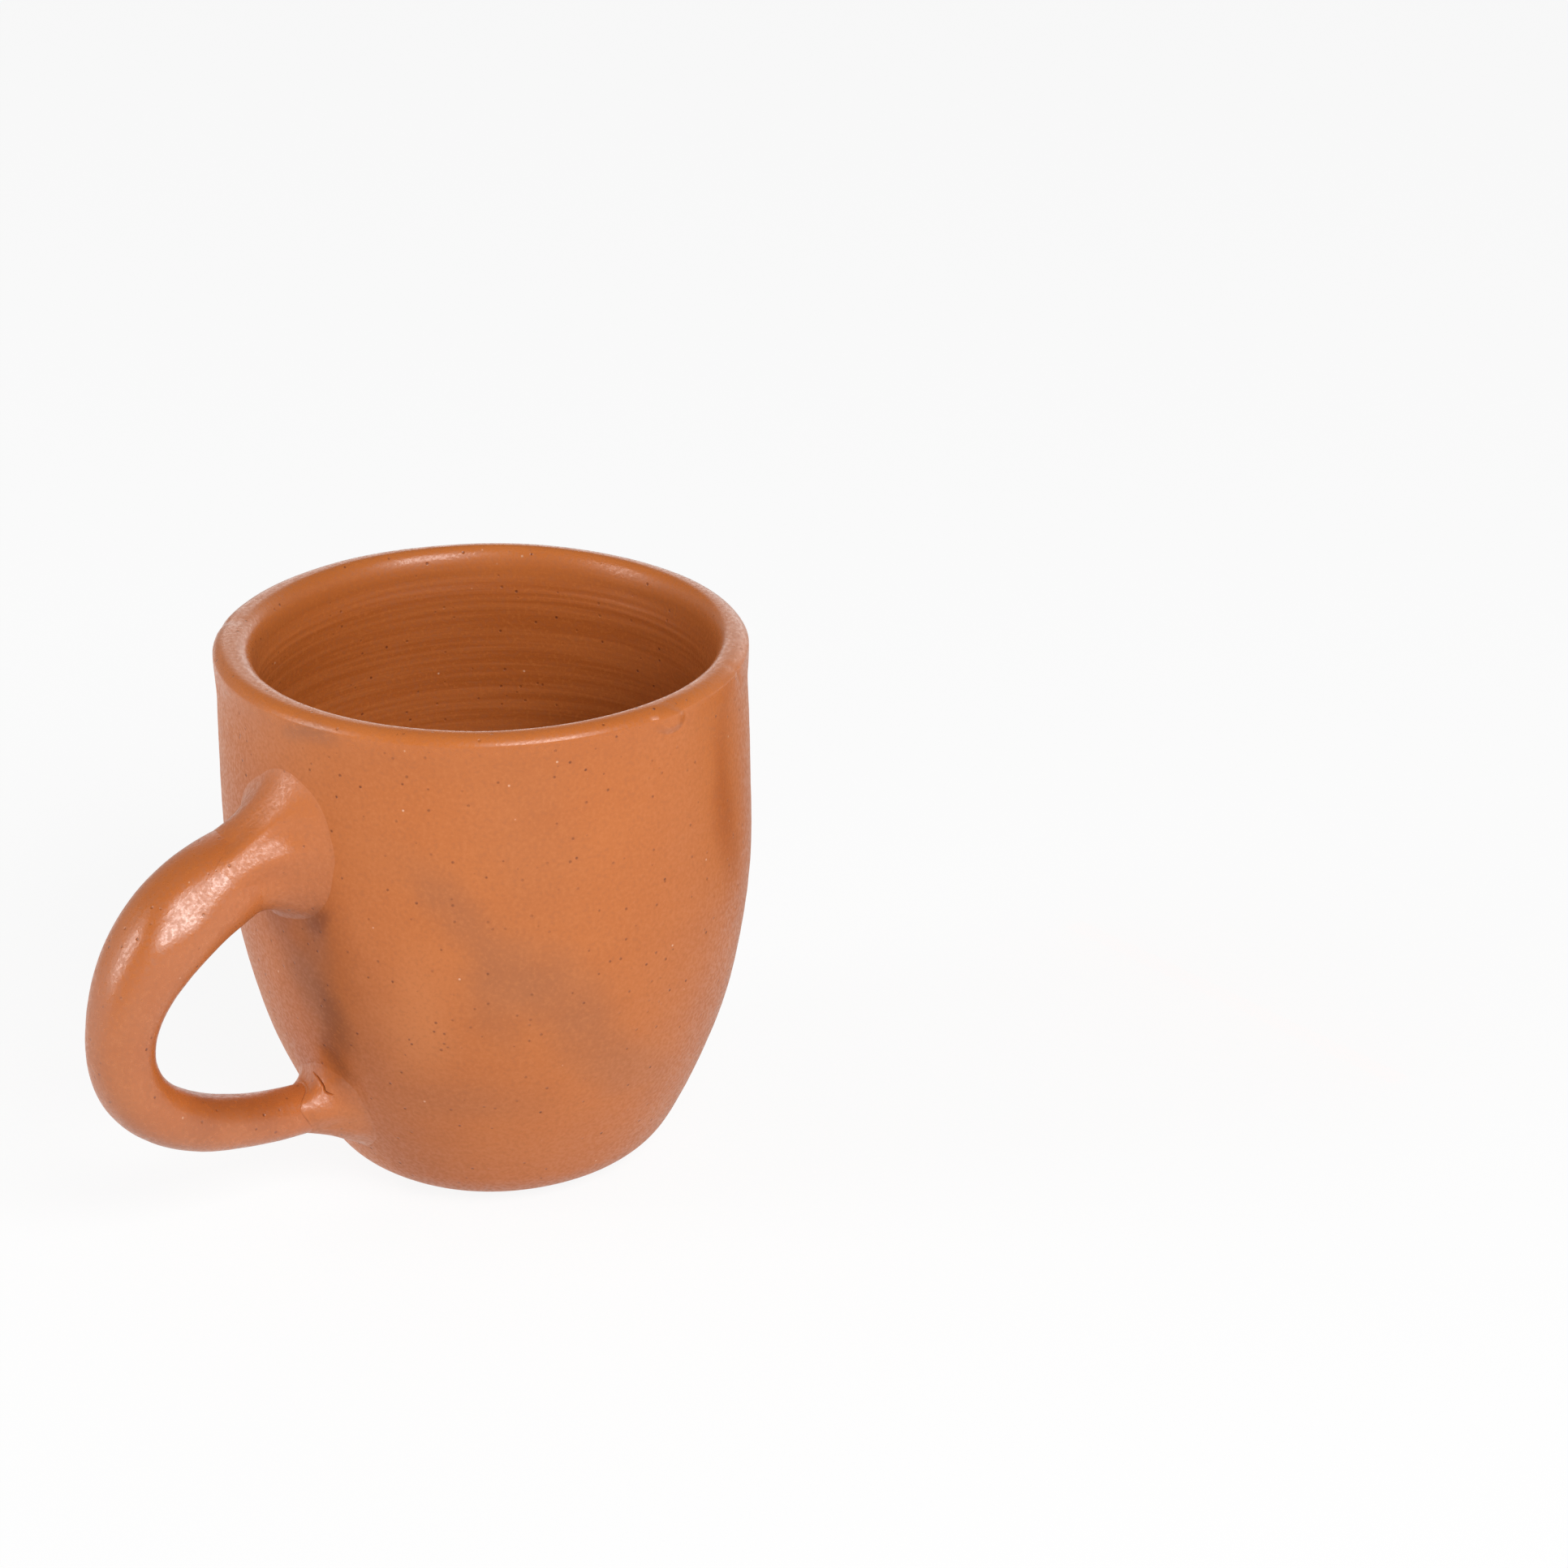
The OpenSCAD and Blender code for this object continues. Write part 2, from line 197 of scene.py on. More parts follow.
for v in cup_clay.verts:
    r, angle, z = math.hypot(v.co.x, v.co.y), math.atan2(v.co.y, v.co.x), v.co.z
    if r < 0.01:
        continue
    out = out_of_true(angle, z)
    if v[inside] > 0:
        side = math.cos(angle - lip_full_side)
        fuller = (full_side_t if side > 0 else far_side_t) * abs(side) ** 1.5
        out += throwing_rings(angle, z) * v[inside] - fuller * ease((lip_r - r) / lip_t) * ease((z - 66) / 18)
        v.co.z += 0.2 * math.sin(math.tau * r / 4.4 - angle) * ease((inside_x - r) / 3) * v[inside]
    else:
        out += lip_marks(angle, z)
    v.co.x *= (r + out) / r
    v.co.y *= (r + out) / r
    at_lip = ease((z - neck_z) / lip_h)
    v.co.z += (lip_rise + lip_lean * v.co.x) * ease((z - lean_from) / (cup_h - lean_from))
    v.co.z += at_lip * lip_wave * noise.noise(Vector((2 * math.cos(angle), 2 * math.sin(angle), 8.8)))
    turned = (angle - lip_nick + math.pi) % math.tau - math.pi
    outer = ease((r - lip_r + lip_t) / lip_t)
    v.co.z -= at_lip * nick_depth * math.exp(-(turned * lip_r / nick_w) ** 2) * outer

clay_red = (0.505, 0.148, 0.034, 1)
clay_deep = (0.465, 0.128, 0.027, 1)
clay_pale = (0.56, 0.182, 0.052, 1)
# A grey-brown for the kiln's smoke, also used for painted shade
clay_smoke_and_shade = (0.33, 0.112, 0.043, 1)
# A darker tone painted inside the cup as shade; it also paints the reflection down the right of the wall and darkens
# the coil's outer bend
clay_inner = (0.395, 0.099, 0.016, 1)
# A dark iron brown for specks, also used for painted shade by the handle
clay_iron_and_shade = (0.16, 0.034, 0.008, 1)
clay_grog = (0.80, 0.54, 0.38, 1)

# Clouds that the kiln's smoke left, painted shade on the wall by the handle and in a crease of the lip, a painted
# reflection down the right of the wall, and a paler patch: from, to, half width, depth, colour
smoke_and_painted_light_clouds = [
    ((38.5, 21, 73), (34, 28, 70), 6, 0.15, clay_smoke_and_shade),
    ((33.6, 28, 69.5), (26.8, 35, 57.5), 7, 0.50, clay_smoke_and_shade),
    ((27, 35, 57), (23, 36, 38), 6, 0.36, clay_smoke_and_shade),
    ((26, 36, 59), (9, 41, 40), 10, 0.60, clay_smoke_and_shade),
    ((15, 40, 44), (-3, 36, 20), 9, 0.44, clay_smoke_and_shade),
    ((24, 36, 86), (17, 40, 65), 13, 0.16, clay_smoke_and_shade),
    ((32, 22, 25), (20, 33, 25), 8, 0.25, clay_smoke_and_shade),
    # Painted shade on the wall between the handle's roots, above the lower collar and under the upper collar's lower
    # edge
    ((43, 5, 56), (39, 8, 29), 8, 0.60, clay_smoke_and_shade),
    ((40.8, 9, 48), (38.3, 8, 28), 5, 0.34, clay_iron_and_shade),
    ((39, 6.5, 32), (37.8, 9, 27.5), 3.5, 0.40, clay_iron_and_shade),
    ((43.6, 5, 55), (42.5, 11.7, 59.4), 3, 0.50, clay_iron_and_shade),
    # A painted reflection: a darker streak down the right of the wall
    ((-18.5, 39.5, 90), (-19, 39, 52), 6, 0.95, clay_inner),
    # Painted shade in a crease of the lip above the handle
    ((43, 7, 92), (41, 14, 91), 3, 0.65, clay_smoke_and_shade),
    # A paler patch on the front of the wall
    ((32, 29, 50), (34, 24, 34), 11, 0.65, clay_pale),
    ((-28, -34, 40), (-34, -22, 18), 13, 0.45, clay_smoke_and_shade),
    ((-40, 16, 56), (-32, 24, 30), 11, 0.35, clay_smoke_and_shade),
]


def put(nodes, kind, inputs=(), **settings):
    """Adds a shader node with its settings and its inputs, each a value or another node's output."""
    made = nodes.new(kind)
    for name, value in settings.items():
        setattr(made, name, value)
    for name, value in dict(inputs).items():
        if isinstance(value, bpy.types.NodeSocket):
            nodes.id_data.links.new(value, made.inputs[name])
        else:
            made.inputs[name].default_value = value
    return made


def tint(nodes, share, under, over):
    """Lays one colour over another where a share says so."""
    made = put(nodes, "ShaderNodeMix", {0: share, 6: under, 7: over}, data_type="RGBA")
    return made.outputs[2]


def spread(nodes, value, low, high, to_low=0.0, to_high=1.0):
    """Spreads part of a pattern's range softly over another range."""
    made = put(nodes, "ShaderNodeMapRange", {"Value": value, "From Min": low, "From Max": high, "To Min": to_low,
                                             "To Max": to_high}, interpolation_type="SMOOTHSTEP")
    return made.outputs["Result"]


def times(nodes, first, second):
    """Multiplies two patterns."""
    return put(nodes, "ShaderNodeMath", {0: first, 1: second}, operation="MULTIPLY").outputs[0]


def grain(nodes, place, scale, detail=2.0, stretch=None):
    """A cloudy pattern, stretched where the clay was drawn out."""
    if stretch:
        place = put(nodes, "ShaderNodeMapping", {"Vector": place, "Scale": stretch}).outputs["Vector"]
    return put(nodes, "ShaderNodeTexNoise", {"Vector": place, "Scale": scale, "Detail": detail}).outputs["Fac"]


def dots(nodes, place, scale, size, share):
    """Specks: dots of a size in millimetres, in a share of the cells of a pattern."""
    cells = put(nodes, "ShaderNodeTexVoronoi", {"Vector": place, "Scale": scale})
    chance = put(nodes, "ShaderNodeSeparateColor", {"Color": cells.outputs["Color"]})
    near = spread(nodes, cells.outputs["Distance"], size * mm * scale, 0.4 * size * mm * scale)
    return times(nodes, near, spread(nodes, chance.outputs["Red"], 1 - share, 1.001 - share))


def raised(nodes, height, depth, under=None):
    """A bump of a depth in millimetres on top of another."""
    sockets = {"Height": height, "Strength": 1.0, "Distance": depth * mm}
    if under:
        sockets["Normal"] = under
    return put(nodes, "ShaderNodeBump", sockets).outputs["Normal"]


def fired_clay(name, strokes, clouds=(), inner=None, wiped=None, gloss=0.32, deep=0.0, grit=0.06, shine=0.5):
    """Burnished red clay: tones, smoke and painted shade, specks, grain, and the strokes of the tool that smoothed it.
    """
    clay = bpy.data.materials.new(name)
    clay.use_nodes = True
    nodes = clay.node_tree.nodes
    place = put(nodes, "ShaderNodeTexCoord").outputs["Object"]
    drawn, stretch = strokes(nodes, place)
    stroke = grain(nodes, drawn, 1.0, 2.0, stretch)
    body = grain(nodes, place, 26.0, 3.0)
    fine = grain(nodes, place, 1500.0, 3.0)
    colour = tint(nodes, spread(nodes, body, 0.30, 0.60, 0.3 - 0.3 * deep, 1 - deep), clay_deep, clay_red)
    colour = tint(nodes, spread(nodes, grain(nodes, place, 60.0, 4.0), 0.50, 0.80, 0, 0.55), colour, clay_pale)
    colour = tint(nodes, spread(nodes, stroke, 0.35, 0.75, 0, 0.30), colour, clay_deep)
    wander = put(nodes, "ShaderNodeTexNoise", {"Vector": place, "Scale": 45.0, "Detail": 2.0}).outputs["Color"]
    wander = put(nodes, "ShaderNodeVectorMath", {0: wander, 1: (0.5, 0.5, 0.5)}, operation="SUBTRACT").outputs[0]
    wander = put(nodes, "ShaderNodeVectorMath", {0: wander, "Scale": 0.014}, operation="SCALE").outputs[0]
    smoky = put(nodes, "ShaderNodeVectorMath", {0: place, 1: wander}, operation="ADD").outputs[0]
    for start, stop, half_w, depth, cloud in clouds:
        way = Vector(stop) - Vector(start)
        sockets = {"Vector": smoky, "Location": (Vector(start) + Vector(stop)) / 2 * mm,
                   "Rotation": way.to_track_quat("X", "Z").to_euler(),
                   "Scale": Vector((way.length / 2 + half_w, half_w, half_w)) * mm}
        here = put(nodes, "ShaderNodeMapping", sockets, vector_type="TEXTURE").outputs["Vector"]
        ball = put(nodes, "ShaderNodeTexGradient", {"Vector": here}, gradient_type="SPHERICAL").outputs["Fac"]
        colour = tint(nodes, spread(nodes, ball, 0.0, 0.9, 0, depth), colour, cloud)
    rough = spread(nodes, fine, 0.35, 0.65, gloss + 0.10, gloss - 0.08)
    if wiped:
        high = put(nodes, "ShaderNodeSeparateXYZ", {0: place}).outputs["Z"]
        smooth = spread(nodes, high, wiped * mm, cup_h * mm, 0, 0.14)
        rough = put(nodes, "ShaderNodeMath", {0: rough, 1: smooth}, operation="SUBTRACT").outputs[0]
    bump = raised(nodes, stroke, 0.010)
    if inner:
        # Inside the cup the colour is painted darker below the lip, as painted shade, broken by the scratches of the
        # throwing
        share = put(nodes, "ShaderNodeAttribute", attribute_name=inner).outputs["Fac"]
        scratch = grain(nodes, place, 1.0, 4.0, (26, 26, 950))
        colour = tint(nodes, times(nodes, share, spread(nodes, scratch, 0.38, 0.62, 1.0, 0.5)), colour, clay_inner)
        bump = raised(nodes, times(nodes, share, scratch), 0.09, bump)
    pores = dots(nodes, place, 480.0, 0.34, 0.55)
    darker = spread(nodes, grain(nodes, place, 90.0), 0.35, 0.65, 0.3, 0.9)
    colour = tint(nodes, times(nodes, pores, darker), colour, clay_iron_and_shade)
    colour = tint(nodes, times(nodes, dots(nodes, place, 250.0, 0.26, 0.5), 0.6), colour, clay_grog)
    colour = tint(nodes, spread(nodes, fine, 0.50, 0.70, 0, 0.30), colour, clay_pale)
    colour = tint(nodes, spread(nodes, fine, 0.50, 0.30, 0, 0.25), colour, clay_smoke_and_shade)
    bump = raised(nodes, fine, grit, bump)
    bump = raised(nodes, pores, -0.06, bump)
    shader = nodes["Principled BSDF"]
    shader.inputs["Specular IOR Level"].default_value = shine
    for socket, value in {"Base Color": colour, "Roughness": rough, "Normal": bump}.items():
        clay.node_tree.links.new(value, shader.inputs[socket])
    return clay


def wheel_strokes(nodes, place):
    """Strokes of a rib held to the turning wall: long across, short up and down."""
    return place, (14, 14, 330)


def fired_piece(name, bm, clay):
    """Makes a finished piece of the clay that was shaped in millimetres."""
    bmesh.ops.scale(bm, vec=(mm, mm, mm), verts=bm.verts[:])
    bmesh.ops.recalc_face_normals(bm, faces=bm.faces[:])
    for face in bm.faces:
        face.smooth = True
    mesh = bpy.data.meshes.new(name)
    bm.to_mesh(mesh)
    bm.free()
    mesh.materials.append(clay)
    piece = bpy.data.objects.new(name, mesh)
    bpy.context.scene.collection.objects.link(piece)
    return piece


# The lip was wiped with wet leather, so it is smoother than the wall from a little under its edge
wiped_from = 86.0
thrown_clay = fired_clay("thrown_clay", wheel_strokes, smoke_and_painted_light_clouds, "inside", wiped_from, gloss=0.44, grit=0.032,
                         shine=0.40)
cup = fired_piece("thrown_cup", cup_clay, thrown_clay)
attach(cup, "root")
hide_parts("cup_body")

# Slip beds
# A smear of wet clay between the scored wall and each end of the handle, dried and fired with them.
# The collars cover it, so the solids stay as they are and get the same clay, rougher.

slip_clay = fired_clay("slip_clay", wheel_strokes, gloss=0.7)
for bed in ("upper_slip_bed", "lower_slip_bed"):
    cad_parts[bed].data.materials.clear()
    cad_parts[bed].data.materials.append(slip_clay)

# Handle coil
# A coil of the same clay rolled by hand, thick at its shoulder and thin at its tail, and bent to an ear.
# Its ends were scored and pressed to the wet wall; damp fingers smoothed it along its length.

upper_root_z, lower_root_z = 66.0, 18.5
handle_reach, handle_mid_z = 31.2, 40.0
upper_drop, lower_rise = math.radians(0.5), math.radians(0.8)
upper_lead, lower_lead = 17.5, 20.0
upper_bend, lower_bend = 13.0, 14.7
root_t, shoulder_t, bend_t, tail_t = 13.8, 15.0, 10.4, 7.9
extra_w, squareness = 0.8, 2.3
shoulder_starts, shoulder_ends, bend_starts, tail_starts = 0.3, 0.35, 1.05, 1.15
slip_t, seat_gap = 0.4, 0.03
flat_at, flat_turn, flat_depth = 0.41, math.radians(52), 0.85
flat_start, flat_end, flat_curve_r = 1.0, 8.5, 36.0
coil_sides, coil_steps = 112, 190


def wall_r(z):
    """Radius of the outside of the wall, as it was meant to be."""
    if z < foot_top_z:
        return foot_x + math.sqrt(max(0, foot_round ** 2 - (foot_round - z) ** 2))
    if z < belly_z:
        return lower_x + math.sqrt(lower_curve_r ** 2 - (belly_z - z) ** 2)
    if z < neck_z:
        return upper_x + math.sqrt(upper_curve_r ** 2 - (z - belly_z) ** 2)
    return neck_r + lip_out * ease((z - neck_z) / (lip_edge_z - neck_z))


def wall_gap(place):
    """How far a place lies outside the wall."""
    return math.hypot(place.x, place.y) - wall_r(place.z) - out_of_true(math.atan2(place.y, place.x), place.z)


def onto_wall(place, way, proud=0.0):
    """Moves a place along a way until it lies on the wall, or a little proud of it."""
    low, high = -12.0, 12.0
    for i in range(24):
        half = (low + high) / 2
        low, high = (low, half) if wall_gap(place + way * half) > proud else (half, high)
    return place + way * low


upper_root = Vector((wall_r(upper_root_z), 0, upper_root_z))
lower_root = Vector((wall_r(lower_root_z), 0, lower_root_z))
furthest = Vector((belly_r + handle_reach, 0, handle_mid_z))
upper_half = (upper_root, upper_root + upper_lead * Vector((math.cos(upper_drop), 0, -math.sin(upper_drop))),
              furthest + Vector((0, 0, upper_bend)), furthest)
lower_half = (furthest, furthest - Vector((0, 0, lower_bend)),
              lower_root + lower_lead * Vector((math.cos(lower_rise), 0, math.sin(lower_rise))), lower_root)


def coil_line(k):
    """A place on the coil's middle line, and its heading: 0 is the upper root, 1 the furthest point, 2 the lower."""
    a, b, c, d = upper_half if k < 1 else lower_half
    t = k if k < 1 else k - 1
    place = (1 - t) ** 3 * a + 3 * (1 - t) ** 2 * t * b + 3 * (1 - t) * t * t * c + t ** 3 * d
    heading = (1 - t) ** 2 * (b - a) + 2 * (1 - t) * t * (c - b) + t * t * (d - c)
    return place, heading.normalized()


def coil_t(k):
    """Thickness of the coil at a place along it."""
    return (tail_t + (bend_t - tail_t) * (1 - ease((k - tail_starts) / (2 - tail_starts)))
            + (shoulder_t - bend_t) * (1 - ease((k - shoulder_ends) / (bend_starts - shoulder_ends)))
            - (shoulder_t - root_t) * (1 - ease(k / shoulder_starts)))


def squared(v):
    """Squares the round of a section a little."""
    return math.copysign(abs(v) ** (2 / squareness), v)


def coil_place(k, q, more=0.0):
    """A place on the skin of the coil, or a little over it: k along the coil and q round it."""
    place, heading = coil_line(k)
    up, thick = Vector((-heading.z, 0, heading.x)), coil_t(k) / 2 + more
    return place + up * thick * squared(math.cos(q)) + Vector((0, (thick + extra_w / 2) * squared(math.sin(q)), 0))


def turns(sides):
    """The turns of the corners of a ring."""
    return [math.tau * i / sides for i in range(sides)]


def coil_ring(k, more=0.0, sides=coil_sides):
    """The rounded section of the coil at a place along it, square to its middle line."""
    return [coil_place(k, q, more) for q in turns(sides)]


# The flat that a thumb pressed on the shoulder, which curves away towards the bend
flat_middle, flat_heading = coil_line(flat_at)
flat_up = Vector((-flat_heading.z, 0, flat_heading.x))
flat_way = flat_up * math.cos(flat_turn) + Vector((0, math.sin(flat_turn), 0))
flat_top = max(place.dot(flat_way) for place in coil_ring(flat_at)) - flat_depth


def over_flat(place):
    """How far a place lies over the flat, and how much of the thumb's weight it took."""
    past = max(0, (place - flat_middle).dot(flat_heading) + flat_start)
    return place.dot(flat_way) - flat_top + past ** 2 / (2 * flat_curve_r), 1 - ease(past / flat_end)


def rolled(k, place):
    """The unevenness that rolling by hand leaves on the coil, and the flat of the thumb."""
    middle = coil_line(k)[0]
    lump = 0.14 * noise.noise(place / 9 + Vector((1.7, 0, 0))) + 0.04 * noise.noise(place / 3.2)
    over, weight = over_flat(place)
    pressed = (over + math.hypot(over, 1.0)) / 2 * weight * ease((k - 0.12) / 0.28)
    return place + (place - middle).normalized() * lump - flat_way * pressed


def end_place(end, distance):
    """The place along the coil that lies a given distance from one of its ends."""
    low, high, start = 0.0, 1.0, coil_line(end)[0]
    for i in range(24):
        half = (low + high) / 2
        far = (coil_line(abs(end - half))[0] - start).length > distance
        low, high = (low, half) if far else (half, high)
    return abs(end - low)


def seated_rings(end, stop, steps, sides, more=0.0, gap=slip_t + seat_gap):
    """Rings of the coil from where it is bedded on the wall to where it runs free."""
    way = coil_line(end)[1] * (1 if end == 0 else -1)
    flat = coil_ring(end, more, sides)
    moves = [onto_wall(place, way, gap) - place for place in flat]
    rings = []
    for i in range(steps):
        u = i / steps
        k = end + (stop - end) * u
        rings.append([rolled(k, place + move * (1 - u)) for place, move in zip(coil_ring(k, more, sides), moves)])
    return rings


def drawn_out(rings):
    """Draws a ring of clay out along a line of rings, and returns it with its first and last edges."""
    bm = bmesh.new()
    drawn = bm.verts.layers.float_vector.new("drawn")
    length = 0.0
    bmesh.ops.create_circle(bm, segments=len(rings[0]), radius=1)
    ring = bm.verts[:]
    first = edges = bm.edges[:]
    for count, places in enumerate(rings):
        if count:
            made = bmesh.ops.extrude_edge_only(bm, edges=edges)["geom"]
            new = {g for g in made if isinstance(g, bmesh.types.BMVert)}
            follow = {e.other_vert(v): v for v in new for e in v.link_edges if e.other_vert(v) not in new}
            ring = [follow[v] for v in ring]
            edges = [bm.edges.get((ring[i - 1], ring[i])) for i in range(len(ring))]
            length += (Vector(places[0]) - Vector(rings[count - 1][0])).length
        for i, (v, place) in enumerate(zip(ring, places)):
            q = math.tau * i / len(ring)
            v.co = place
            v[drawn] = Vector((5 * math.cos(q), 5 * math.sin(q), length)) * mm
    return bm, first, edges


upper_stop, lower_stop = end_place(0, 8.5), end_place(2, 6.2)
coil_rings = seated_rings(0, upper_stop, 14, coil_sides)
for i in range(coil_steps + 1):
    k = upper_stop + (lower_stop - upper_stop) * i / coil_steps
    coil_rings.append([rolled(k, place) for place in coil_ring(k)])
coil_rings += reversed(seated_rings(2, lower_stop, 12, coil_sides))
coil_clay, first_edges, last_edges = drawn_out(coil_rings)
ends = [bmesh.ops.contextual_create(coil_clay, geom=edges)["faces"][0] for edges in (first_edges, last_edges)]
bmesh.ops.poke(coil_clay, faces=ends)


def finger_strokes(nodes, place):
    """Soft strokes of a wet finger, drawn along the coil."""
    return put(nodes, "ShaderNodeAttribute", attribute_name="drawn").outputs["Vector"], (420, 420, 45)


# Darker over the coil's outer bend, painted shade on the top of its tail under the upper half, and a small darker mark
# low on its near side
coil_clouds = [((75, 0, 58), (75, 0, 26), 16, 0.50, clay_inner), ((45, 0, 24), (70, 0, 25), 7, 0.40, clay_iron_and_shade),
               ((66, 5, 19), (72, 5, 22), 4, 0.45, clay_smoke_and_shade)]
coil_finish = fired_clay("coil_clay", finger_strokes, coil_clouds, gloss=0.35, deep=1.0, grit=0.055, shine=0.85)
coil = fired_piece("handle_coil_clay", coil_clay, coil_finish)
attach(coil, "root")
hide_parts("handle_coil")

# Upper collar
# Soft clay pressed round the thick root of the coil and smoothed out on to the wall with a fingertip.
# Its edge feathers away on the wall and on the coil.

collar_clay = fired_clay("collar_clay", finger_strokes, smoke_and_painted_light_clouds, gloss=0.40, deep=0.4, grit=0.09, shine=0.66)


def near_turn(turn, middle, reach):
    """1 at a turn round a root, in degrees from its top, and 0 further than a reach from it."""
    away = abs((turn - math.radians(middle) + math.pi) % math.tau - math.pi)
    return 1 - ease(away / math.radians(reach))


def luted_collar(end, edge_at, reach_at, pull_at, ridge, smear, sides, steps):
    """Rings of a collar: over the wall's edge, along its hollow to the coil, and back under itself."""
    root, heading = coil_line(end)
    way = heading * (1 if end == 0 else -1)
    up = Vector((-way.z, 0, way.x))
    sunk, outer, near, off, far, past, under = [], [], [], [], [], [], []
    for q in turns(sides):
        turn = math.atan2(math.sin(q), math.cos(q) if end == 0 else -math.cos(q))
        across, high = edge_at(turn)
        ragged = 1 + 0.05 * noise.noise(Vector((2.2 * math.cos(q), 2.2 * math.sin(q), 5.5 + end)))
        edge = root + (up * high + Vector((0, across, 0))) * ragged
        corner = onto_wall(coil_place(end, q), way)
        wall_pull, coil_pull = pull_at(turn)
        reach = reach_at(turn)
        proud = ridge * ease(0.6 + 0.7 * math.cos(turn)) - 0.06
        sunk.append(onto_wall(edge + (edge - root).normalized() * 0.6, way, -0.3))
        outer.append(onto_wall(edge, way, -0.06))
        near.append(onto_wall(edge.lerp(corner, wall_pull), way, -0.06))
        for row, distance, more in ((off, reach * (1 - coil_pull), proud), (far, reach, proud),
                                    (past, reach + 0.6, -0.2)):
            k = end_place(end, distance)
            row.append(rolled(k, coil_place(k, q, more)))
        under.append(onto_wall(corner.lerp(edge, 0.5), way, -0.6))
    rings = [sunk]
    for j in range(steps + 1):
        t = j / steps
        ring = []
        for a, b, c, d in zip(outer, near, off, far):
            place = (1 - t) ** 3 * a + 3 * (1 - t) ** 2 * t * b + 3 * (1 - t) * t * t * c + t ** 3 * d
            lump = smear * noise.noise(place / 4.5 + Vector((9.1, 0, 0))) * math.sin(math.pi * t)
            ring.append(place + (place - (root + way * (place - root).dot(way))).normalized() * lump)
        rings.append(ring)
    shortest = end_place(end, min(reach_at(q) for q in turns(sides)))
    return rings + [past] + list(reversed(seated_rings(end, shortest, 6, sides, -0.6, 0.05))) + [under, sunk]


def upper_edge(turn):
    """Where the upper collar feathers out on the wall, across and up from the middle of its root."""
    wider = 1 + 0.10 * near_turn(turn, 30, 50) - 0.12 * near_turn(turn, -25, 50)
    return 0.6 + (15.3 if turn > 0 else 10.5) * wider * math.sin(turn), 2.6 + 13.6 * wider * math.cos(turn)


def upper_reach(turn):
    """How far the upper collar runs along the coil: furthest where the thumb drew it out."""
    return 8.5 + 6.5 * near_turn(turn, 54, 40)


def upper_pull(turn):
    """How hollow the upper collar is by the wall and by the coil: it is straight at its top."""
    top, drawn, below = near_turn(turn, 24, 75), near_turn(turn, 54, 40), near_turn(turn, 132, 45)
    return 0.54 - 0.32 * top - 0.25 * below, 0.56 - 0.32 * top + 0.16 * drawn


upper_steps = 44
upper_rings = luted_collar(0, upper_edge, upper_reach, upper_pull, ridge=0.0, smear=0.2, sides=160, steps=upper_steps)
# The stroke of the thumb over the collar, in the plane of the flat on the coil
stroke_start, stroke_end = Vector((46.4, 8.0, 72.2)), Vector((60.0, 5.6, 67.8))
stroke_way, stroke_length = (stroke_end - stroke_start).normalized(), (stroke_end - stroke_start).length
stroke_press = 0.76
for ring in upper_rings[1:upper_steps + 2]:
    for i, place in enumerate(ring):
        over = place.dot(flat_way) - flat_top
        along = (place - stroke_start).dot(stroke_way)
        aside = (place - stroke_start - stroke_way * along - flat_way * (place - stroke_start).dot(flat_way)).length
        share = ((1 - ease((aside - 0.3) / 3.8)) * (1 - ease((2 - along) / 6.5))
                 * (1 - ease((along - stroke_length + 4) / 4)))
        ring[i] = place - flat_way * over * stroke_press * share * (1 - ease((-over - 1) / 7))
upper_shape = drawn_out(upper_rings)[0]
bmesh.ops.remove_doubles(upper_shape, verts=upper_shape.verts[:], dist=0.0005)
upper = fired_piece("upper_collar_clay", upper_shape, collar_clay)
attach(upper, "root")
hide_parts("upper_collar")

# Lower collar
# The same round the thin tail, where less clay was added and the joint was pressed more quickly.
# It keeps a crease against the coil and a small drying crack on top.


def lower_edge(turn):
    """Where the lower collar feathers out on the wall: close in on its far side, further out by the thumb."""
    wider = 1 - 0.24 * near_turn(turn, -30, 60) + 0.10 * near_turn(turn, 40, 45) + 0.05 * near_turn(turn, 180, 80)
    return 0.2 + (10.6 if turn > 0 else 9.5) * wider * math.sin(turn), 0.4 + 9.2 * wider * math.cos(turn)


def lower_reach(turn):
    """How far the lower collar runs along the coil."""
    return 6.2 + 2.2 * near_turn(turn, 65, 50) - 2.2 * near_turn(turn, -25, 70)


def lower_pull(turn):
    """How hollow the lower collar is by the wall and by the coil: it is fuller underneath."""
    return 0.45 - 0.25 * near_turn(turn, 180, 90), 0.15


lower_steps = 60
lower_rings = luted_collar(2, lower_edge, lower_reach, lower_pull, ridge=0.25, smear=0.3, sides=240, steps=lower_steps)
# A flat of the thumb on its near side
thumb_place, thumb_reach, thumb_press = Vector((39.8, 5.3, 21.4)), 5.2, 0.67
# A crack that opened on its top as the clay dried, and the way in
crack = [Vector(p) for p in ((39.2, 1.1, 25.2), (39.0, 2.5, 24.8), (38.9, 3.4, 24.3), (38.9, 4.05, 23.8),
                             (39.0, 4.6, 23.0), (38.7, 5.0, 22.7), (38.3, 5.7, 22.5))]
crack_way = Vector((0.82, 0.42, 0.39)).normalized()
crack_depth, crack_w, crack_reach = 0.5, 0.13, 0.5


def from_crack(place):
    """How far a place lies from the line of the crack, and how far along it."""
    best = (9.0, 0.0)
    for i, (a, b) in enumerate(zip(crack, crack[1:])):
        line, off = b - a, place - a
        line, off = line - crack_way * line.dot(crack_way), off - crack_way * off.dot(crack_way)
        u = min(1, max(0, off.dot(line) / line.length_squared))
        best = min(best, ((off - line * u).length, (i + u) / (len(crack) - 1)))
    return best


